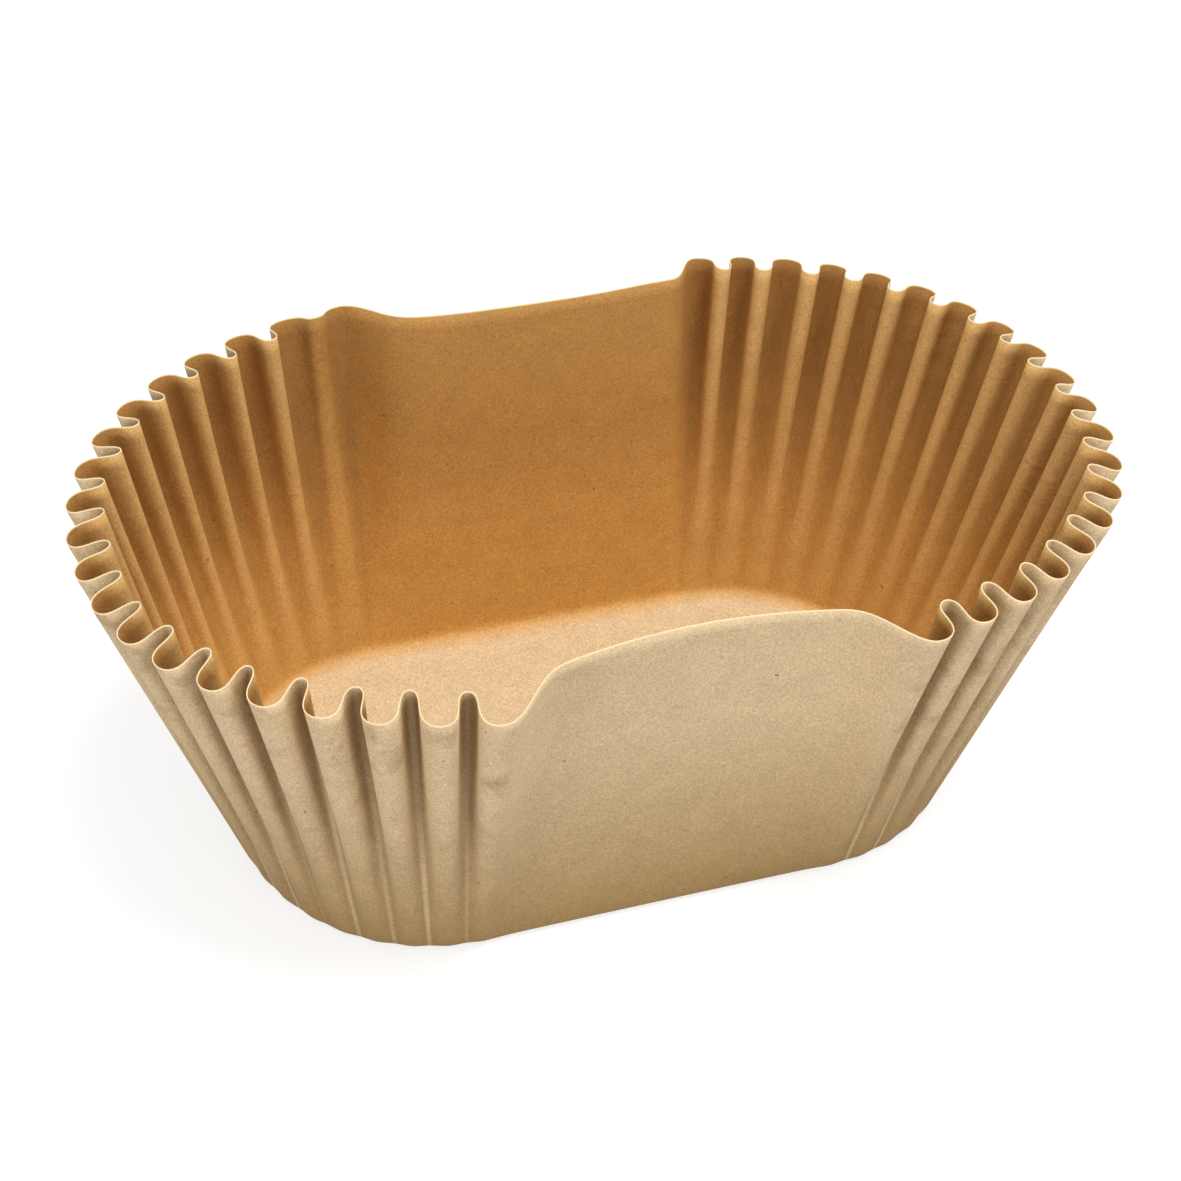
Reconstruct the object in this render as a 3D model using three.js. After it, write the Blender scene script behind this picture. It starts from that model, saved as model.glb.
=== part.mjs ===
// A loaf tin liner: one sheet of brown baking paper pressed into an oblong tray.
// Millimetres, +Z up, long axis along X, origin at the middle of the underside.
// The sheet has a flat floor, a plain panel in the middle of each long side,
// and round ends gathered into pleats that open out towards the rim.

import * as THREE from 'three';

// Driving dimensions
const PAPER = 0.15;               // thickness of the sheet
const WALL_LENGTH = 62.5;         // up the sheet, from the floor's edge to the rim
const BASE_LENGTH = 118;
const BASE_WIDTH = 69;
const BASE_STRAIGHT = 55;         // straight part of each long edge of the floor
const BASE_ROUNDING = 2.13;       // power of the curve of the floor's ends, 2 is an ellipse
const BASE_CREASE_RADIUS = 2.2;   // soft bend between floor and wall
const RIM_LENGTH = 159;           // over the outer folds
const RIM_WIDTH = 103;            // of the oval that the outer folds follow
const RIM_STRAIGHT = 28;
const RIM_ROUNDING = 2.17;
const PLEATS_PER_END = 20;        // outer folds at each end
const RIM_PLEAT_DEPTH = 5.6;      // outer fold to inner fold at the rim
const BASE_PLEAT_DEPTH = 0.12;
const OUTER_FOLD_WIDENING = 0.55; // at the rim, where 0 makes outer and inner folds alike
const FLANK_STEEPNESS = 0.42;     // at the rim, where 0 is a plain wave and 0.5 has parallel sides
const RIM_PANEL_WIDTH = 63.5;     // from the last outer fold of one end to that of the other
const BASE_PANEL_WIDTH = 56.5;
const PANEL_STEP = 8.2;           // how far the panel's rim steps in beside the last fold
const PANEL_STEP_REACH = 5.6;     // the length of rim that this step takes
const PANEL_STEP_SHARPNESS = 2.4; // power of the step's curve, 2 is a bell curve
const PANEL_HOLLOW = 2.6;         // how much further in the middle of the panel's rim stands
const PANEL_HOLLOW_REACH = 15;
const FOOT_GATHER = 1.5;          // over 1 leans the panel's columns towards the last folds at the foot

// Mesh steps
const OUTLINE_SAMPLES = 720;      // points that measure the length of an outline
const PANEL_STEPS = 24;
const PANEL_CROWDING = 1.5;       // over 1 sets the panel's columns closer beside the last folds
const CREASE_STEPS = 3;
const WALL_STEPS = 2;
// phases of one pleat's columns: 0 is an inner fold, 1 the outer fold, 2 the next inner one
const PLEAT_PHASES = [0, 0.25, 0.5, 0.68, 0.84, 1, 1.16, 1.32, 1.5, 1.75];

const TURN = Math.PI;

// Half of an oblong outline, from the middle of the back edge round the +X end
// to the middle of the front edge: a straight run and a curve
// |x/a|^n + |y/b|^n = 1. Returns points with the length run so far.
function halfOutline(length, width, straight, rounding) {
  const endReach = (length - straight) / 2;
  const run = [{ x: 0, y: width / 2, distance: 0 }];
  for (let i = 0; i <= OUTLINE_SAMPLES; i += 1) {
    const angle = TURN / 2 - (TURN * i) / OUTLINE_SAMPLES;
    const across = Math.abs(Math.cos(angle)) ** (2 / rounding);
    const along = Math.abs(Math.sin(angle)) ** (2 / rounding);
    run.push({ x: straight / 2 + endReach * across, y: Math.sign(angle) * (width / 2) * along });
  }
  run.push({ x: 0, y: -width / 2 });
  for (let i = 1; i < run.length; i += 1) {
    const step = Math.hypot(run[i].x - run[i - 1].x, run[i].y - run[i - 1].y);
    run[i].distance = run[i - 1].distance + step;
  }
  return run;
}

const baseOutline = halfOutline(BASE_LENGTH, BASE_WIDTH, BASE_STRAIGHT, BASE_ROUNDING);
const rimOutline = halfOutline(RIM_LENGTH, RIM_WIDTH, RIM_STRAIGHT, RIM_ROUNDING);

// The point at a distance along a half outline, and the outward normal there.
function pointAlong(run, distance) {
  const last = run.length - 1;
  const next = Math.min(Math.max(run.findIndex((p) => p.distance >= distance), 1), last);
  const a = run[next - 1];
  const b = run[next];
  const gap = b.distance - a.distance;
  const share = gap > 0 ? (distance - a.distance) / gap : 0;
  const x = a.x + (b.x - a.x) * share;
  const y = a.y + (b.y - a.y) * share;
  const before = run[Math.max(next - 2, 0)];
  const after = run[Math.min(next + 1, last)];
  const size = Math.hypot(after.x - before.x, after.y - before.y);
  return { x, y, nx: -(after.y - before.y) / size, ny: (after.x - before.x) / size };
}

// The section of one pleat: the place across it, from 0 to 1, and the depth, 0 on
// the outer fold and 1 on an inner fold. The depth is a cosine of the phase. At the
// foot the place follows the phase. At the rim it lags behind by a sine, which
// widens the outer fold, and a sine of the double phase makes the flanks steep.
function pleatAt(phase) {
  const turn = TURN * phase;
  const lag = OUTER_FOLD_WIDENING * Math.sin(turn) - FLANK_STEEPNESS * Math.sin(2 * turn);
  return {
    footPlace: phase / 2,
    rimPlace: (turn - lag) / (2 * TURN),
    depth: 0.5 * (1 + Math.cos(turn)),
  };
}

// The columns of half the wall, from the middle of the back panel to the middle
// of the front panel. Each has its distances along the two outlines, its depth
// in a pleat, and how far it is past the last fold, on a panel.
function halfColumns() {
  const baseTotal = baseOutline[baseOutline.length - 1].distance;
  const rimTotal = rimOutline[rimOutline.length - 1].distance;
  const basePitch = (baseTotal - BASE_PANEL_WIDTH) / (PLEATS_PER_END - 1);
  const rimPitch = (rimTotal - RIM_PANEL_WIDTH) / (PLEATS_PER_END - 1);
  const panel = [];
  for (let i = 0; i < PANEL_STEPS / 2; i += 1) {
    const past = (1 - (2 * i) / PANEL_STEPS) ** PANEL_CROWDING;
    panel.push({
      base: ((1 - past ** FOOT_GATHER) * BASE_PANEL_WIDTH) / 2,
      rim: ((1 - past) * RIM_PANEL_WIDTH) / 2,
      depth: 0,
      pastFold: (past * RIM_PANEL_WIDTH) / 2,
    });
  }
  const pleats = [];
  for (let fold = 0; fold < PLEATS_PER_END; fold += 1) {
    for (const phase of PLEAT_PHASES) {
      const outside = (fold === 0 && phase < 1) || (fold === PLEATS_PER_END - 1 && phase > 1);
      if (outside) continue;
      const { footPlace, rimPlace, depth } = pleatAt(phase);
      pleats.push({
        base: BASE_PANEL_WIDTH / 2 + (fold + footPlace - 0.5) * basePitch,
        rim: RIM_PANEL_WIDTH / 2 + (fold + rimPlace - 0.5) * rimPitch,
        depth,
        pastFold: 0,
      });
    }
  }
  const frontPanel = panel.slice(1).map((column) => ({
    ...column,
    base: baseTotal - column.base,
    rim: rimTotal - column.rim,
  }));
  return [...panel, ...pleats, ...frontPanel.reverse()];
}

// How far the panel's rim stands in at a distance past the last fold: a quick step
// beside the fold and a gentle hollow towards the middle.
function panelRecess(pastFold) {
  const step = 1 - Math.exp(-((pastFold / PANEL_STEP_REACH) ** PANEL_STEP_SHARPNESS));
  const hollow = 1 - Math.exp(-((pastFold / PANEL_HOLLOW_REACH) ** 2));
  return PANEL_STEP * step + PANEL_HOLLOW * hollow;
}

// A column of the outer face: its foot on the floor's edge and its rim point. The
// paper is equally long up every column, so the rim is lower where the wall leans out.
function columnEnds(column) {
  const foot = pointAlong(baseOutline, column.base);
  const top = pointAlong(rimOutline, column.rim);
  const footIn = BASE_PLEAT_DEPTH * column.depth;
  const topIn = RIM_PLEAT_DEPTH * column.depth + panelRecess(column.pastFold);
  const footPoint = new THREE.Vector3(foot.x - foot.nx * footIn, foot.y - foot.ny * footIn, 0);
  const rimPoint = new THREE.Vector3(top.x - top.nx * topIn, top.y - top.ny * topIn, 0);
  const lean = rimPoint.distanceTo(footPoint);
  rimPoint.z = Math.sqrt(WALL_LENGTH ** 2 - lean ** 2);
  return { foot: footPoint, inward: new THREE.Vector3(-foot.nx, -foot.ny, 0), rim: rimPoint };
}

// One column of points of the outer face, from the floor's edge up to the rim.
// The bend is an arc from level to the slope of the wall, tangent to both.
function columnPoints(column) {
  const { foot, inward, rim } = columnEnds(column);
  const rise = new THREE.Vector3().subVectors(rim, foot).normalize();
  const slope = Math.acos(THREE.MathUtils.clamp(-rise.dot(inward), -1, 1));
  const tangent = BASE_CREASE_RADIUS * Math.tan(slope / 2);
  const start = foot.clone().addScaledVector(inward, tangent);
  const finish = foot.clone().addScaledVector(rise, tangent);
  const points = [];
  for (let i = 0; i <= CREASE_STEPS; i += 1) {
    const share = i / CREASE_STEPS;
    const a = start.clone().lerp(foot, share);
    const b = foot.clone().lerp(finish, share);
    points.push(a.lerp(b, share));
  }
  for (let i = 1; i <= WALL_STEPS; i += 1) {
    points.push(finish.clone().lerp(rim, i / WALL_STEPS));
  }
  return points;
}

// All columns round the liner: the +X half, then the same half turned about Z.
function wallGrid() {
  const half = halfColumns().map(columnPoints);
  const turned = half.map((points) => points.map((p) => new THREE.Vector3(-p.x, -p.y, p.z)));
  return [...half, ...turned];
}

// Unit normals of a closed ring of columns, pointing into the tray.
function inwardNormals(grid) {
  const count = grid.length;
  return grid.map((points, c) => points.map((point, r) => {
    const left = grid[(c + count - 1) % count][r];
    const right = grid[(c + 1) % count][r];
    const below = points[Math.max(r - 1, 0)];
    const above = points[Math.min(r + 1, points.length - 1)];
    const around = new THREE.Vector3().subVectors(right, left);
    const upward = new THREE.Vector3().subVectors(above, below);
    if (r === 0) return new THREE.Vector3(0, 0, 1);
    return new THREE.Vector3().crossVectors(around, upward).normalize();
  }));
}

// The closed sheet: outer face, inner face one paper thickness in, rim edge and floor.
function linerGeometry() {
  const outer = wallGrid();
  const normals = inwardNormals(outer);
  const inner = outer.map((points, c) => points.map(
    (point, r) => point.clone().addScaledVector(normals[c][r], PAPER),
  ));
  const columns = outer.length;
  const rows = outer[0].length;
  const positions = [];
  for (const face of [outer, inner]) {
    for (const points of face) {
      for (const p of points) positions.push(p.x, p.y, p.z);
    }
  }
  const underMiddle = positions.length / 3;
  positions.push(0, 0, 0);
  const floorMiddle = underMiddle + 1;
  positions.push(0, 0, PAPER);

  const outerAt = (c, r) => (c % columns) * rows + r;
  const innerAt = (c, r) => columns * rows + outerAt(c, r);
  const index = [];
  const quad = (a, b, c, d) => index.push(a, b, c, a, c, d);
  for (let c = 0; c < columns; c += 1) {
    for (let r = 0; r < rows - 1; r += 1) {
      quad(outerAt(c, r), outerAt(c, r + 1), outerAt(c + 1, r + 1), outerAt(c + 1, r));
      quad(innerAt(c, r), innerAt(c + 1, r), innerAt(c + 1, r + 1), innerAt(c, r + 1));
    }
    quad(outerAt(c, rows - 1), innerAt(c, rows - 1), innerAt(c + 1, rows - 1), outerAt(c + 1, rows - 1));
    index.push(underMiddle, outerAt(c, 0), outerAt(c + 1, 0));
    index.push(floorMiddle, innerAt(c + 1, 0), innerAt(c, 0));
  }
  const geometry = new THREE.BufferGeometry();
  geometry.setAttribute('position', new THREE.Float32BufferAttribute(positions, 3));
  geometry.setIndex(index);
  geometry.computeVertexNormals();
  return geometry;
}

const brownPaper = new THREE.MeshStandardMaterial({
  color: 0xc9a873,
  roughness: 0.85,
  metalness: 0,
  side: THREE.DoubleSide,
});

const liner = new THREE.Mesh(linerGeometry(), brownPaper);
liner.name = 'liner';

const tray = new THREE.Group();
tray.add(liner);

export default tray;
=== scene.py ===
# %% [markdown]
# # A loaf tin liner in brown baking paper
#
# The object is one sheet of unbleached baking paper, pressed into an oblong tray
# that lines a loaf tin.
# It has a flat floor, a plain panel in the middle of each long side, and two
# round ends where the spare paper is gathered into pleats. This lesson works
# out the whole sheet as one surface of two parameters, gives it the thickness
# of paper, and finishes it with a fibrous material.

# %% Load the frame
import bpy
import math
import numpy as np
from mathutils import Matrix, Vector


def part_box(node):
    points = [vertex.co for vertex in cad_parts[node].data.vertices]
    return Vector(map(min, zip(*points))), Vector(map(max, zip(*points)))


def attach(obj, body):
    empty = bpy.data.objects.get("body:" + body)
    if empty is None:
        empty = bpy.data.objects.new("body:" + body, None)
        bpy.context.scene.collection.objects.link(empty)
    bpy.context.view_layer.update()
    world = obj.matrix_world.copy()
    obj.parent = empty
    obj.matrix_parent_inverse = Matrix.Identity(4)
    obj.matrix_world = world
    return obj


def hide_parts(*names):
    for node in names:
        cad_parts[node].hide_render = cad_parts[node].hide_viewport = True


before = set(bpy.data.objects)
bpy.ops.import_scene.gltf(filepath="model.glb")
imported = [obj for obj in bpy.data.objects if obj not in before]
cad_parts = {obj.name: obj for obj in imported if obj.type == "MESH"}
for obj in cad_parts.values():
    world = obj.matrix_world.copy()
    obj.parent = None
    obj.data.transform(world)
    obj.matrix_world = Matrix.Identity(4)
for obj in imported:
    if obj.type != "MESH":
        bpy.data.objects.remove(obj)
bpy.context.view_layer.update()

MM = 0.001
low, high = (np.array(corner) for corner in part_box("liner"))
print("liner node", np.round((high - low) / MM, 1), "mm")

# %% [markdown]
# ## The camera
#
# The photograph looks down into the tray from the front and a little from the
# left, with the camera rolled a few degrees. The camera could be dragged until
# the view looks right. Here it is set from azimuth, elevation, roll and the
# distance to a point inside the tray, so that each can be corrected by itself.

# %% Place the camera
AZIMUTH = math.radians(-20.63)
ELEVATION = math.radians(40.05)
ROLL = math.radians(3.46)
DISTANCE = 370.0 * MM
TARGET = np.array([0.46, 5.58, 30.83]) * MM
FOCAL_LENGTH = 71.33
SENSOR = 36.0


def camera_axes(azimuth, elevation, roll):
    """Right, up and backward axes of a camera that looks at the target.

    Backward points from the target to the camera. Right is level and then
    turned about backward by the roll.
    """
    backward = np.array([math.sin(azimuth) * math.cos(elevation),
                         -math.cos(azimuth) * math.cos(elevation),
                         math.sin(elevation)])
    level = np.array([math.cos(azimuth), math.sin(azimuth), 0.0])
    upright = np.cross(backward, level)
    right = math.cos(roll) * level + math.sin(roll) * upright
    up = -math.sin(roll) * level + math.cos(roll) * upright
    return right, up, backward


right, up, backward = camera_axes(AZIMUTH, ELEVATION, ROLL)
place = TARGET + backward * DISTANCE
camera_data = bpy.data.cameras.new("camera")
camera_data.lens = FOCAL_LENGTH
camera_data.sensor_width = SENSOR
camera = bpy.data.objects.new("camera", camera_data)
camera.matrix_world = Matrix(((right[0], up[0], backward[0], place[0]),
                              (right[1], up[1], backward[1], place[1]),
                              (right[2], up[2], backward[2], place[2]),
                              (0, 0, 0, 1)))
bpy.context.scene.collection.objects.link(camera)
bpy.context.scene.camera = camera
print("camera at", np.round(place / MM, 1), "mm")

# %% [markdown]
# ## The outlines of floor and rim
#
# Seen from above, the floor and the rim are both oblong ovals: a straight run
# and an end whose curve is a power oval, |x/a|^n + |y/b|^n = 1. Power 2 is an
# ellipse, and a higher power is squarer. They could be drawn as Bezier curves,
# but the pleats share the outline evenly, so it is simpler to work it out and
# find each point by the length run along it.

# %% Outlines measured by length
PAPER = 0.15 * MM
WALL_LENGTH = 62.5 * MM
BASE = dict(length=118 * MM, width=69 * MM, straight=55 * MM, rounding=2.13)
RIM = dict(length=159 * MM, width=103 * MM, straight=28 * MM, rounding=2.17)
BASE_PANEL_WIDTH = 56.5 * MM
RIM_PANEL_WIDTH = 63.5 * MM
OUTLINE_SAMPLES = 4000


def half_outline(length, width, straight, rounding):
    """Half an oval from the middle of the back round +X to the middle of the front.

    x = straight/2 + a cos(t)^(2/n) and y = b sin(t)^(2/n), for t from a quarter
    turn to minus a quarter turn, after a straight run from x = 0.
    """
    t = np.linspace(math.pi / 2, -math.pi / 2, OUTLINE_SAMPLES)
    x = straight / 2 + (length - straight) / 2 * np.abs(np.cos(t)) ** (2 / rounding)
    y = width / 2 * np.sign(t) * np.abs(np.sin(t)) ** (2 / rounding)
    x = np.concatenate([[0], x, [0]])
    y = np.concatenate([[width / 2], y, [-width / 2]])
    run = np.concatenate([[0], np.cumsum(np.hypot(np.diff(x), np.diff(y)))])
    return run, x, y


def along_outline(outline, distance):
    """Points at given lengths along a half outline, with outward normals.

    The normal is the tangent turned a quarter turn to the left, where the
    tangent is the difference of two points 0.4 mm apart.
    """
    run, x, y = outline
    step = 0.2 * MM
    ahead = np.clip(distance + step, 0, run[-1])
    behind = np.clip(distance - step, 0, run[-1])
    tangent = np.stack([np.interp(ahead, run, x) - np.interp(behind, run, x),
                        np.interp(ahead, run, y) - np.interp(behind, run, y)], axis=-1)
    tangent /= np.linalg.norm(tangent, axis=-1, keepdims=True)
    point = np.stack([np.interp(distance, run, x), np.interp(distance, run, y)], axis=-1)
    return point, np.stack([-tangent[..., 1], tangent[..., 0]], axis=-1)


base_outline = half_outline(**BASE)
rim_outline = half_outline(**RIM)
print("half outlines", round(base_outline[0][-1] / MM, 1), round(rim_outline[0][-1] / MM, 1), "mm")

# %% [markdown]
# ## The pleats
#
# A press gathers the paper at each end into outer folds that are wide and
# round, and inner folds that are narrow, with steep flanks between them. One
# pleat could be drawn as a curve by hand. Here its section comes from a phase:
# the depth is a cosine of it, and the place across the pleat lags behind it by
# two sines, so that two numbers set the width of the folds and the steepness
# of the flanks at the rim. At the foot the section is a plain shallow wave. No
# two pressed folds are quite alike, so each fold gets its own small depth and
# lean from an uneven wave over the fold's number. The last inner fold at the
# back left was hardly pressed at all, so it is eased.

# %% Columns across the pleats and panels
FOLDS = 20
COLUMNS_PER_PLEAT = 24
PANEL_COLUMNS = 40
RIM_PLEAT_DEPTH = 5.6 * MM
BASE_PLEAT_DEPTH = 0.06 * MM
RIGHT_SECTION = dict(widening=0.42, steepness=0.49)
LEFT_SECTION = dict(widening=0.55, steepness=0.42)
FOOT_SECTION = dict(widening=0.0, steepness=0.0)
DEPTH_VARIATION = 0.07
LEAN_VARIATION = 0.05
STEEPNESS_VARIATION = 0.06
EASING_REACH = 0.9
PANEL_CROWDING = 1.5
FOOT_GATHER = 1.5


def wave(number, tune):
    """A smooth, uneven wave over a fold's number, between -1 and 1.

    The mean of sin(1.7 n + t), sin(2.9 n + 2.1 t) and sin(4.3 n + 0.7 t).
    """
    return (np.sin(1.7 * number + tune) + np.sin(2.9 * number + 2.1 * tune)
            + np.sin(4.3 * number + 0.7 * tune)) / 3


def pleat_depth(phase, tune):
    """Depth for a phase that grows by 2 per pleat: 1 on inner folds, 0 on outer ones.

    Half of one plus the cosine of half a turn times the phase. Even phases are
    inner folds and odd ones outer folds.
    """
    variation = 1 + DEPTH_VARIATION * wave(np.round(phase / 2), tune)
    return 0.5 * (1 + np.cos(math.pi * phase)) * variation


def pleat_place(phase, widening, steepness, tune):
    """Place across the pleats, counted in pleats, for a phase.

    The turn is half a turn times the phase. The place is the turn less
    w sin(turn) plus s sin(2 turn), as a share of a full turn, where w is the
    widening of the outer folds and s the steepness of the flanks.
    """
    turn = math.pi * phase
    inner_fold = np.round(phase / 2)
    steepness = steepness + STEEPNESS_VARIATION * wave(inner_fold, tune + 1)
    lag = widening * np.sin(turn) - steepness * np.sin(2 * turn)
    lean = LEAN_VARIATION * wave(inner_fold, tune + 2) * 0.5 * (1 + np.cos(turn))
    return (turn - lag) / (2 * math.pi) + lean


def half_columns(tune, rim_section, easing):
    """Column coordinates of half the wall, back to front round an end.

    Returns how far each column is along the base and the rim, its depth in a
    pleat, and its distance past the last outer fold (0 within the pleats). The
    last inner fold at the back, at phase 2, is eased: its depth and steepness
    lose the easing times exp(-((phase - 2) / reach)^2). On a panel the columns
    stand closer beside the last fold, and closer still at the foot.
    """
    past = np.linspace(1, 0, PANEL_COLUMNS, endpoint=False) ** PANEL_CROWDING
    phase = np.linspace(1, 2 * FOLDS - 1, (FOLDS - 1) * COLUMNS_PER_PLEAT + 1)
    kept = 1 - easing * np.exp(-((phase - 2) / EASING_REACH) ** 2)
    eased_section = dict(rim_section, steepness=rim_section["steepness"] * kept)
    runs = []
    edges = ((base_outline, BASE_PANEL_WIDTH, FOOT_SECTION, FOOT_GATHER),
             (rim_outline, RIM_PANEL_WIDTH, eased_section, 1))
    for outline, panel, section, gather in edges:
        total = outline[0][-1]
        pitch = (total - panel) / (FOLDS - 1)
        back = (1 - past ** gather) * panel / 2
        pleats = panel / 2 + (pleat_place(phase, tune=tune, **section) - 0.5) * pitch
        runs.append(np.concatenate([back, pleats, total - back[:0:-1]]))
    depth = np.concatenate([0 * past, pleat_depth(phase, tune) * kept, 0 * past[1:]])
    past = np.concatenate([past, 0 * phase, past[:0:-1]]) * RIM_PANEL_WIDTH / 2
    return runs[0], runs[1], depth, past


print("columns in half the wall", len(half_columns(0.0, LEFT_SECTION, 0.0)[0]))

# %% [markdown]
# ## Foot and rim of every column
#
# The paper is equally long up every column, so the rim is lower where the wall
# leans out more, and its height needn't be guessed. The two side panels stand
# in behind the folds: beside the last fold each steps in sharply, and from
# there it hollows gently to its middle. The four corners were pressed unevenly,
# so each has its own sharpness. A panel could be a separate patch joined to the
# pleats, but as columns of the same sheet it has no seam to hide.

# %% Ends of the columns
FRONT_PANEL = dict(step=7.9 * MM, hollow=3.7 * MM, hollow_reach=17 * MM)
BACK_PANEL = dict(step=8.0 * MM, hollow=2.4 * MM, hollow_reach=15 * MM)
BACK_LEFT_CORNER = dict(reach=6.6 * MM, sharpness=2.0)
BACK_RIGHT_CORNER = dict(reach=3.6 * MM, sharpness=3.0)
FRONT_LEFT_CORNER = dict(reach=6.2 * MM, sharpness=2.4)
FRONT_RIGHT_CORNER = dict(reach=6.4 * MM, sharpness=2.5)
LAST_FOLD_REACH = 8 * MM


def panel_recess(past, step, hollow, hollow_reach, reach, sharpness):
    """How far the rim stands in at a distance past the last fold.

    Step times 1 - exp(-(past / reach)^sharpness), plus hollow times
    1 - exp(-(past / hollow reach)^2).
    """
    return (step * (1 - np.exp(-(past / reach) ** sharpness))
            + hollow * (1 - np.exp(-(past / hollow_reach) ** 2)))


def wall_lines(base, rim, depth, recess):
    """Four arrays: foot points, rim points, the level direction inwards at the
    foot, and how far the pleat takes each rim point in, as a level vector.

    The rim's height is the square root of the wall length squared less the
    level distance from foot to rim squared.
    """
    foot, foot_out = along_outline(base_outline, base)
    top, top_out = along_outline(rim_outline, rim)
    foot = foot - foot_out * (BASE_PLEAT_DEPTH * depth)[:, None]
    pleat = -top_out * (RIM_PLEAT_DEPTH * depth)[:, None]
    top = top + pleat - top_out * recess[:, None]
    lean = np.linalg.norm(top - foot, axis=1)
    foot = np.column_stack([foot, 0 * lean])
    top = np.column_stack([top, np.sqrt(WALL_LENGTH ** 2 - lean ** 2)])
    return foot, top, np.column_stack([-foot_out, 0 * lean]), np.column_stack([pleat, 0 * lean])


panel_middle = panel_recess(RIM_PANEL_WIDTH / 2, **FRONT_PANEL, **FRONT_LEFT_CORNER)
print("the middle of the front panel stands in by", round(panel_middle / MM, 1), "mm")

# %% [markdown]
# ## The sheet
#
# Each column runs straight up the wall from a soft bend at its foot, and the
# pleats open gently at first. Laid on a grid, the sheet is one function of two
# parameters: which column, and how far along the sheet from the middle of the
# floor to the rim. The two halves are worked out alike and joined in a ring, so
# that each can have its own small unevenness.

# %% The outer face on a grid
CREASE_RADIUS = 2.2 * MM
FLOOR_ROWS = 10
CREASE_ROWS = 6
WALL_ROWS = 26
PLEAT_OPENING = 1.3
RIGHT_HALF = dict(tune=0.4, section=RIGHT_SECTION, back_corner=BACK_RIGHT_CORNER,
                  front_corner=FRONT_RIGHT_CORNER, last_fold_shift=-1 * MM)
LEFT_HALF = dict(tune=3.1, section=LEFT_SECTION, back_corner=BACK_LEFT_CORNER,
                 front_corner=FRONT_LEFT_CORNER, last_fold_shift=3 * MM, easing=0.55)


def sheet_rows(foot, top, inward, pleat):
    """Rows of the outer face from the floor's middle to the rim.

    The floor rows are shares of the foot point. The bend is the parabola with
    its control point at the foot, tangent to floor and wall. From there the wall
    is straight to the rim, but the pleats open with the height share to a power
    over 1, so that they start gently at the foot.
    """
    rise = (top - foot) / np.linalg.norm(top - foot, axis=1, keepdims=True)
    slope = np.arccos(np.clip(-(rise * inward).sum(axis=1), -1, 1))
    tangent = (CREASE_RADIUS * np.tan(slope / 2))[:, None]
    start = foot + inward * tangent
    finish = foot + rise * tangent
    floor = [start * share for share in np.linspace(0, 1, FLOOR_ROWS, endpoint=False)[1:]]
    bend = [(1 - s) ** 2 * start + 2 * s * (1 - s) * foot + s * s * finish
            for s in np.linspace(0, 1, CREASE_ROWS, endpoint=False)]
    wall = [finish + (top - finish) * s - pleat * (s - s ** PLEAT_OPENING)
            for s in np.linspace(0, 1, WALL_ROWS)]
    return np.stack(floor + bend + wall, axis=1)


def half_sheet(tune, section, back_corner, front_corner, last_fold_shift, easing=0.0):
    """Half the outer face round the +X end, with the depth and the distance past
    the last fold of each column.

    The last fold at the back can sit further along towards its panel: the run
    along the rim is moved by a bell curve, shift times exp(-(distance / reach)^2).
    """
    base, rim, depth, past = half_columns(tune, section, easing)
    at_back = rim < rim_outline[0][-1] / 2
    recess = np.where(at_back, panel_recess(past, **BACK_PANEL, **back_corner),
                      panel_recess(past, **FRONT_PANEL, **front_corner))
    from_last = (rim - RIM_PANEL_WIDTH / 2) / LAST_FOLD_REACH
    rim = rim - last_fold_shift * np.exp(-from_last ** 2)
    return sheet_rows(*wall_lines(base, rim, depth, recess)), depth, past


def join_halves(right, left):
    """One ring from the right half and the mirrored left half, without repeats."""
    return np.concatenate([right, left[::-1][1:-1]])


right_half, right_depth, right_past = half_sheet(**RIGHT_HALF)
left_half, left_depth, left_past = half_sheet(**LEFT_HALF)
outer = join_halves(right_half, left_half * np.array([-1, 1, 1]))
fold = join_halves(right_depth, left_depth)
past_fold = join_halves(right_past, left_past)
print("grid of", outer.shape[0], "columns and", outer.shape[1], "rows")
print("overall", np.round(np.ptp(outer.reshape(-1, 3), axis=0) / MM, 1), "mm")

# %% [markdown]
# ## Thickness
#
# A Solidify modifier could do this. The inner face is worked out here instead,
# so that its points can carry their own numbers for the golden inside: each
# point moves in along the normal of the grid by the thickness of the paper.

# %% The inner face


def grid_normals(points):
    """Unit normals of a closed ring of columns, pointing into the tray.

    The cross product of the difference to the neighbours round the ring with
    the difference to the rows above and below.
    """
    around = np.roll(points, -1, axis=0) - np.roll(points, 1, axis=0)
    upward = np.gradient(points, axis=1)
    normal = np.cross(around, upward)
    return normal / np.linalg.norm(normal, axis=2, keepdims=True)


inner = outer + grid_normals(outer) * PAPER
print("inner face", inner.shape[0] * inner.shape[1], "points")

# %% [markdown]
# ## One closed mesh
#
# The two faces are joined by a strip along the cut rim edge, and a fan of
# triangles closes the floor on each side. Corner numbers follow from column and
# row, so whole arrays of faces are written at once. Every face lists its
# corners so that it points out of the paper.

# %% Close the sheet into a solid
columns, rows = outer.shape[:2]
middle = np.array([[0, 0, 0], [0, 0, PAPER]])
points = np.concatenate([outer.reshape(-1, 3), inner.reshape(-1, 3), middle])

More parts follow.
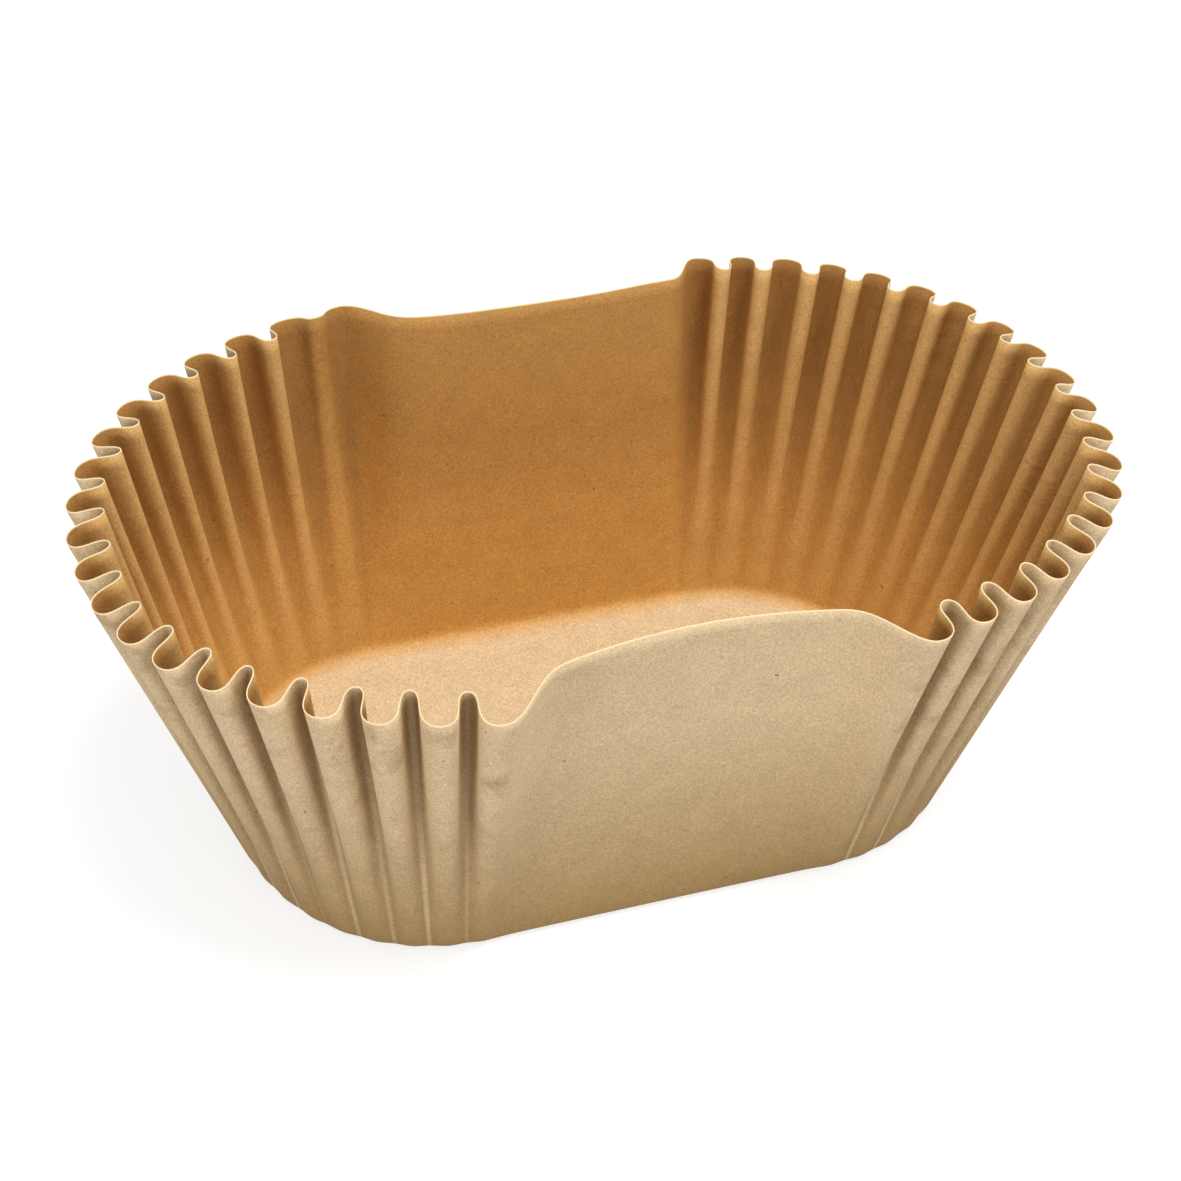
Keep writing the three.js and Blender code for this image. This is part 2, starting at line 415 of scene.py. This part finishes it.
column = np.arange(columns)[:, None]
row = np.arange(rows - 1)[None, :]
here = column * rows + row
following = ((column + 1) % columns) * rows + row
wall_quads = np.stack([here, here + 1, following + 1, following], axis=-1).reshape(-1, 4)
shift = columns * rows
edge = np.arange(columns) * rows + rows - 1
next_edge = np.roll(edge, -1)
rim_quads = np.stack([edge, edge + shift, next_edge + shift, next_edge], axis=-1)
first = np.arange(columns) * rows
next_first = np.roll(first, -1)
under = np.full(columns, 2 * shift)
caps = np.concatenate([np.stack([under, first, next_first], axis=-1),
                       np.stack([under + 1, next_first + shift, first + shift], axis=-1)])
quads = np.concatenate([wall_quads, wall_quads[:, ::-1] + shift, rim_quads])
faces = quads.tolist() + caps.tolist()

mesh = bpy.data.meshes.new("pressed_sheet")
mesh.from_pydata(points.tolist(), [], faces)
mesh.polygons.foreach_set("use_smooth", np.ones(len(faces), dtype=bool))
mesh.update()
sheet = bpy.data.objects.new("pressed_sheet", mesh)
bpy.context.scene.collection.objects.link(sheet)
print("pressed sheet", len(points), "points", len(faces), "faces")

# %% [markdown]
# ## Numbers that follow the sheet
#
# The painted light and shade of the paper follow its folds: the inner folds get
# a painted highlight, the grooves between them painted shade, and both fade
# towards the foot and end beside the panels. They could be painted on an image.
# Here each point keeps a few plain numbers instead, which the material reads as attributes.

# %% Attributes that follow the sheet
NEAR_FOLD_REACH = 2 * MM
RIDGE_BIAS = 0.4
RIDGE_FADE = 0.6


def add_attribute(name, outer_values, inner_values, ends):
    """Store one number per point, given for both faces and the two middle points."""
    values = np.concatenate([outer_values.ravel(), inner_values.ravel(), ends])
    layer = mesh.attributes.new(name, "FLOAT", "POINT")
    layer.data.foreach_set("value", values.astype(np.float32))


ones = np.ones((columns, rows))
add_attribute("inside", 0 * ones, ones, (0.0, 1.0))

steps = np.linalg.norm(np.diff(outer, axis=1), axis=2)
from_rim = np.concatenate([np.cumsum(steps[:, ::-1], axis=1)[:, ::-1], 0 * ones[:, :1]], axis=1)
farthest = from_rim.max()
add_attribute("from_rim", from_rim, from_rim, (farthest, farthest))

height_share = np.clip(1 - from_rim / WALL_LENGTH, 0, 1)
near_folds = np.exp(-(past_fold / NEAR_FOLD_REACH) ** 2)[:, None]
# ridge shading: positive on the inner folds for a painted highlight, negative in the grooves for
# painted shade, fading towards the foot and beside the panels
contrast = 2 * fold[:, None] - RIDGE_BIAS - (1 - RIDGE_BIAS) * height_share
ridge_shading = contrast * height_share ** RIDGE_FADE * near_folds
add_attribute("ridge_shading", ridge_shading, ridge_shading, (0.0, 0.0))
crease = fold[:, None] * ones
add_attribute("inner_fold", crease, crease, (0.0, 0.0))
add_attribute("pleated", near_folds * ones, near_folds * ones, (0.0, 0.0))
print("from the rim to the middle of the floor", round(farthest / MM, 1), "mm")

# %% [markdown]
# ## Unbleached paper
#
# Unbleached baking paper is a warm tan, mottled by short fibres and a few dark
# flecks. A scanned paper texture would show its repeats and stretch over the
# folds. Noise on object coordinates does neither, so one Principled shader
# mixes several noises. These short helpers add the nodes and link them.

# %% Shader helpers


def node(tree, kind, **inputs):
    """Add a shader node and set its plain input values."""
    made = tree.nodes.new(kind)
    for name, value in inputs.items():
        made.inputs[name.replace("_", " ")].default_value = value
    return made


def noise(tree, coordinates, scale, detail, distortion=0.0):
    """Noise on object coordinates; scale is in cells per metre."""
    texture = node(tree, "ShaderNodeTexNoise", Scale=scale, Detail=detail, Roughness=0.6,
                   Distortion=distortion)
    tree.links.new(coordinates, texture.inputs["Vector"])
    return texture.outputs["Fac"]


def mix(tree, factor, a, b, blend="MIX"):
    """Mix two colours; each input is a socket or a plain value."""
    made = tree.nodes.new("ShaderNodeMix")
    made.data_type = "RGBA"
    made.blend_type = blend
    for place, value in ((0, factor), (6, a), (7, b)):
        if isinstance(value, bpy.types.NodeSocket):
            tree.links.new(value, made.inputs[place])
        else:
            made.inputs[place].default_value = value
    return made.outputs[2]


def ramp(tree, value, low_end, high_end, to_low=0.0, to_high=1.0):
    """Map a value range to another, clamped."""
    made = node(tree, "ShaderNodeMapRange", From_Min=low_end, From_Max=high_end,
                To_Min=to_low, To_Max=to_high)
    tree.links.new(value, made.inputs["Value"])
    return made.outputs["Result"]


def combine(tree, operation, *values):
    """Multiply, add or take the maximum of several numbers, two at a time."""
    total = values[0]
    for value in values[1:]:
        made = tree.nodes.new("ShaderNodeMath")
        made.operation = operation
        tree.links.new(total, made.inputs[0])
        tree.links.new(value, made.inputs[1])
        total = made.outputs[0]
    return total


def threads(tree, coordinates, scale, width):
    """Thin wandering lines, 1 where a distorted noise is near 0.5 and 0 elsewhere."""
    value = noise(tree, coordinates, scale, 2, distortion=1.2)
    return combine(tree, "MULTIPLY", ramp(tree, value, 0.5 - width, 0.5, 0.0, 1.0),
                   ramp(tree, value, 0.5, 0.5 + width, 1.0, 0.0))


def attribute(tree, name):
    """The value of a stored attribute."""
    made = tree.nodes.new("ShaderNodeAttribute")
    made.attribute_name = name
    return made.outputs["Fac"]


def shade(tree, colour, amount):
    """Multiply a colour by one number."""
    grey = tree.nodes.new("ShaderNodeCombineColor")
    for name in ("Red", "Green", "Blue"):
        tree.links.new(amount, grey.inputs[name])
    return mix(tree, 1.0, colour, grey.outputs["Color"], "MULTIPLY")


print("helpers: node, noise, mix, ramp, combine, threads, attribute, shade")

# %% [markdown]
# ## The colours of the two faces
#
# Outside, the paper is a greyish tan, painted lighter near the rim and darker,
# warmer towards the foot, for the light through the upper wall and the shade near
# the floor. Inside, light bounces from wall to wall, and this is painted in: the
# walls are golden and darker towards the rim, the inner folds get a painted
# highlight and the grooves between them painted shade, while the open floor stays
# light. Two separate materials would need a cut along the rim, so one material
# mixes both by the stored numbers.

# %% Colours from the attributes
# Outside colours: painted light near the rim and painted shade towards the foot.
OUTSIDE_LIT_RIM_COLOUR = (0.68, 0.505, 0.30, 1)
OUTSIDE_SHADED_FOOT_COLOUR = (0.37, 0.23, 0.085, 1)
# painted shade for the grooves of the outside
OUTSIDE_GROOVE_SHADE_COLOUR = (0.33, 0.205, 0.09, 1)
# darker mottled patches: partly fibre mottle, partly painted shade of the lobes
SHADED_MOTTLE_COLOUR = (0.30, 0.17, 0.065, 1)
# inside walls: painted shade at the rim and painted bounce light lower down
SHADED_WALL_RIM_COLOUR = (0.42, 0.212, 0.054, 1)
BOUNCE_LIT_WALL_FOOT_COLOUR = (0.67, 0.355, 0.092, 1)
FLOOR_COLOUR = (0.71, 0.54, 0.32, 1)
# painted highlight on the inner folds, partly the paler rubbed crease
INNER_FOLD_HIGHLIGHT_COLOUR = (0.85, 0.55, 0.22, 1)
# painted shade in the grooves inside
GROOVE_SHADE_COLOUR = (0.35, 0.168, 0.042, 1)
EDGE_COLOUR = (0.88, 0.70, 0.42, 1)
CELLS_PER_METRE = dict(clouds=210, grain=3200, pale_threads=620, dark_threads=760, shaded_mottle=150,
                       flecks=900, relief=110, wrinkles=130, wrinkled_spots=80)


def outside_colour(tree, coordinates, from_rim, inner_fold, pleated):
    """Greyish tan, painted lighter near the rim and darker, warmer towards the foot, with painted
    shade in the grooves, a rubbed line in each, and darker mottled patches that are partly painted
    shade.
    """
    # painted light and shade: lighter near the rim, darker and warmer towards the foot
    downward_shading = ramp(tree, from_rim, 0.3 * WALL_LENGTH, WALL_LENGTH)
    colour = mix(tree, downward_shading, OUTSIDE_LIT_RIM_COLOUR, OUTSIDE_SHADED_FOOT_COLOUR)
    # painted shade in the outside grooves, fading towards the foot
    fading = ramp(tree, from_rim, 0.15 * WALL_LENGTH, WALL_LENGTH, 1.0, 0.45)
    groove_shade = combine(tree, "MULTIPLY", ramp(tree, inner_fold, 0.35, 0.9, 0.0, 0.8), fading)
    colour = mix(tree, groove_shade, colour, OUTSIDE_GROOVE_SHADE_COLOUR)
    # darker mottled patches near the rim on the pleats, partly fibre mottle and partly painted
    # shade of the lobes
    mottle = noise(tree, coordinates, CELLS_PER_METRE["shaded_mottle"], 4, distortion=0.6)
    spots = ramp(tree, mottle, 0.52, 0.72, 0.0, 0.5)
    near_rim = ramp(tree, from_rim, 0.25 * WALL_LENGTH, 0.75 * WALL_LENGTH, 1.0, 0.0)
    colour = mix(tree, combine(tree, "MULTIPLY", spots, near_rim, pleated), colour, SHADED_MOTTLE_COLOUR)
    rubbed = ramp(tree, inner_fold, 0.95, 1.01, 0.0, 0.35)
    return mix(tree, rubbed, colour, EDGE_COLOUR)


def inside_colour(tree, from_rim, ridge_shading, pleated):
    """Walls painted darker at the rim and golden lower down for bounced light, with painted
    highlights on the inner folds, painted shade in the grooves and on the pleated ends, and a
    light floor.
    """
    # painted light and shade: the walls are darker at the rim and golden lower down, for the light
    # bounced from the floor and between the walls
    downward_shading = ramp(tree, from_rim, 0.05 * WALL_LENGTH, 0.65 * WALL_LENGTH)
    colour = mix(tree, downward_shading, SHADED_WALL_RIM_COLOUR, BOUNCE_LIT_WALL_FOOT_COLOUR)
    # painted highlight on the inner folds, partly the paler rubbed crease of the paper
    colour = mix(tree, ramp(tree, ridge_shading, -0.1, 0.7, 0.0, 0.5), colour, INNER_FOLD_HIGHLIGHT_COLOUR)
    # painted shade in the grooves between the inner folds
    colour = mix(tree, ramp(tree, ridge_shading, 0.0, -0.7), colour, GROOVE_SHADE_COLOUR)
    # painted shade: the pleated ends inside are darkened by up to 6 per cent
    colour = shade(tree, colour, ramp(tree, pleated, 0.0, 1.0, 1.0, 0.94))
    floor = ramp(tree, from_rim, WALL_LENGTH - 1 * MM, WALL_LENGTH + 3 * MM)
    return mix(tree, floor, colour, FLOOR_COLOUR)


print("noises, in cells per metre:", CELLS_PER_METRE)

# %% [markdown]
# ## The fibres, flecks and wrinkles
#
# Over the colours lie soft clouds, a fine grain, thin threads that are paler or
# darker, and a few flecks. The cut edge at the rim is pale. The same grain
# roughens the surface a little, and a softer relief gives it the gentle
# unevenness of pressed paper, with a few small wrinkles on the pleats.

# %% The paper material
FLECK_COLOUR = (0.20, 0.11, 0.05, 1)
EDGE_WIDTH = 0.25 * MM


def paper_material():
    """Tan paper with clouds, fibres and flecks over the painted light and shade of the two faces.
    """
    material = bpy.data.materials.new("baking_paper")
    material.use_nodes = True
    tree = material.node_tree
    shader = tree.nodes["Principled BSDF"]
    shader.inputs["Roughness"].default_value = 0.8
    shader.inputs["Specular IOR Level"].default_value = 0.25
    coordinates = tree.nodes.new("ShaderNodeTexCoord").outputs["Object"]
    from_rim = attribute(tree, "from_rim")
    pleated = attribute(tree, "pleated")
    inner_fold = attribute(tree, "inner_fold")
    colour = mix(tree, attribute(tree, "inside"),
                 outside_colour(tree, coordinates, from_rim, inner_fold, pleated),
                 inside_colour(tree, from_rim, attribute(tree, "ridge_shading"), pleated))
    cloudy = noise(tree, coordinates, CELLS_PER_METRE["clouds"], 4, distortion=0.4)
    grain = noise(tree, coordinates, CELLS_PER_METRE["grain"], 3)
    pale = threads(tree, coordinates, CELLS_PER_METRE["pale_threads"], 0.03)
    dark = threads(tree, coordinates, CELLS_PER_METRE["dark_threads"], 0.03)
    shades = (ramp(tree, cloudy, 0.3, 0.7, 0.95, 1.05), ramp(tree, grain, 0.3, 0.7, 0.79, 1.21),
              ramp(tree, pale, 0.0, 1.0, 1.0, 1.10), ramp(tree, dark, 0.0, 1.0, 1.0, 0.88))
    colour = shade(tree, colour, combine(tree, "MULTIPLY", *shades))
    flecks = noise(tree, coordinates, CELLS_PER_METRE["flecks"], 1)
    flecks = ramp(tree, flecks, 0.77, 0.80, 0.0, 0.7)
    colour = mix(tree, flecks, colour, FLECK_COLOUR)
    edge_share = ramp(tree, from_rim, 0.0, EDGE_WIDTH, 1.0, 0.0)
    colour = mix(tree, edge_share, colour, EDGE_COLOUR)
    tree.links.new(colour, shader.inputs["Base Color"])
    fine = node(tree, "ShaderNodeBump", Strength=0.45, Distance=0.0001)
    tree.links.new(grain, fine.inputs["Height"])
    soft = node(tree, "ShaderNodeBump", Strength=0.5, Distance=0.0006)
    spots = noise(tree, coordinates, CELLS_PER_METRE["wrinkled_spots"], 1)
    spots = ramp(tree, spots, 0.55, 0.7, 0.0, 0.22)
    wrinkles = threads(tree, coordinates, CELLS_PER_METRE["wrinkles"], 0.06)
    wrinkles = combine(tree, "MULTIPLY", wrinkles, spots, pleated)
    relief = noise(tree, coordinates, CELLS_PER_METRE["relief"], 3)
    relief = combine(tree, "ADD", relief, wrinkles)
    tree.links.new(relief, soft.inputs["Height"])
    tree.links.new(fine.outputs["Normal"], soft.inputs["Normal"])
    tree.links.new(soft.outputs["Normal"], shader.inputs["Normal"])
    return material


mesh.materials.append(paper_material())
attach(sheet, "root")
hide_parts("liner")
print("baking paper has", len(mesh.materials[0].node_tree.nodes), "nodes")

# %% [markdown]
# ## The floor
#
# The tray stands on a white floor. A floor that is truly white would throw its
# light back up at the walls, which the photograph doesn't show. So the floor is
# a light grey that glows only for rays which the camera, a glossy surface or a
# clear one sends: it looks white, keeps the shadow, and adds no light to the
# tray.

# %% White floor and backdrop
FLOOR_SIZE = 3.0
FLOOR_GREY = 0.38
FLOOR_GLOW = 0.75
BACKDROP_GLOW = 1.0
AMBIENT = 0.5


def seen_directly(tree):
    """1 for rays from the camera, from a glossy surface or through a clear one."""
    path = tree.nodes.new("ShaderNodeLightPath").outputs
    return combine(tree, "MAXIMUM", path["Is Camera Ray"], path["Is Glossy Ray"],
                   path["Is Transmission Ray"])


def white_floor_material():
    """A light grey floor that looks white away from shadows."""
    material = bpy.data.materials.new("studio_floor")
    material.use_nodes = True
    tree = material.node_tree
    shader = tree.nodes["Principled BSDF"]
    shader.inputs["Base Color"].default_value = (FLOOR_GREY, FLOOR_GREY, FLOOR_GREY, 1)
    shader.inputs["Roughness"].default_value = 0.9
    shader.inputs["Emission Color"].default_value = (1, 1, 1, 1)
    glow = ramp(tree, seen_directly(tree), 0.0, 1.0, 0.0, FLOOR_GLOW)
    tree.links.new(glow, shader.inputs["Emission Strength"])
    return material


bpy.ops.mesh.primitive_plane_add(size=FLOOR_SIZE)
floor = bpy.context.object
floor.name = "studio_floor"
floor.data.materials.append(white_floor_material())

world = bpy.data.worlds.new("studio")
bpy.context.scene.world = world
world.use_nodes = True
background = world.node_tree.nodes["Background"]
background.inputs["Color"].default_value = (1, 1, 1, 1)
seen = seen_directly(world.node_tree)
strength = ramp(world.node_tree, seen, 0.0, 1.0, AMBIENT, BACKDROP_GLOW)
world.node_tree.links.new(strength, background.inputs["Strength"])
print("floor", FLOOR_SIZE, "m wide, ambient level", AMBIENT)

# %% [markdown]
# ## The lamps
#
# The floor of the tray is the lightest part, and the outside is brighter on its
# left and front. One large lamp overhead lights the floor. It could be made
# stronger for the outside too, but then the inner walls would lose their depth.
# So two low lamps, from the left and the front, graze the outside and pass
# under the rim of the far walls.

# %% Lights
LAMPS = {"top": dict(place=(200 * MM, -150 * MM, 1200 * MM), size=450 * MM, power=11.0),
         "left": dict(place=(-1000 * MM, -480 * MM, 120 * MM), size=400 * MM, power=4.7),
         "front": dict(place=(480 * MM, -990 * MM, 120 * MM), size=400 * MM, power=4.0)}


def area_light(name, place, size, power):
    """A square lamp that faces the tray."""
    data = bpy.data.lights.new(name, "AREA")
    data.energy = power
    data.size = size
    lamp = bpy.data.objects.new(name, data)
    lamp.location = Vector(place)
    lamp.rotation_euler = (-lamp.location).to_track_quat("-Z", "Y").to_euler()
    bpy.context.scene.collection.objects.link(lamp)


for lamp_name, lamp in LAMPS.items():
    area_light(lamp_name, **lamp)
print("lamps", ", ".join(LAMPS))

bpy.context.scene.view_settings.view_transform = "Standard"
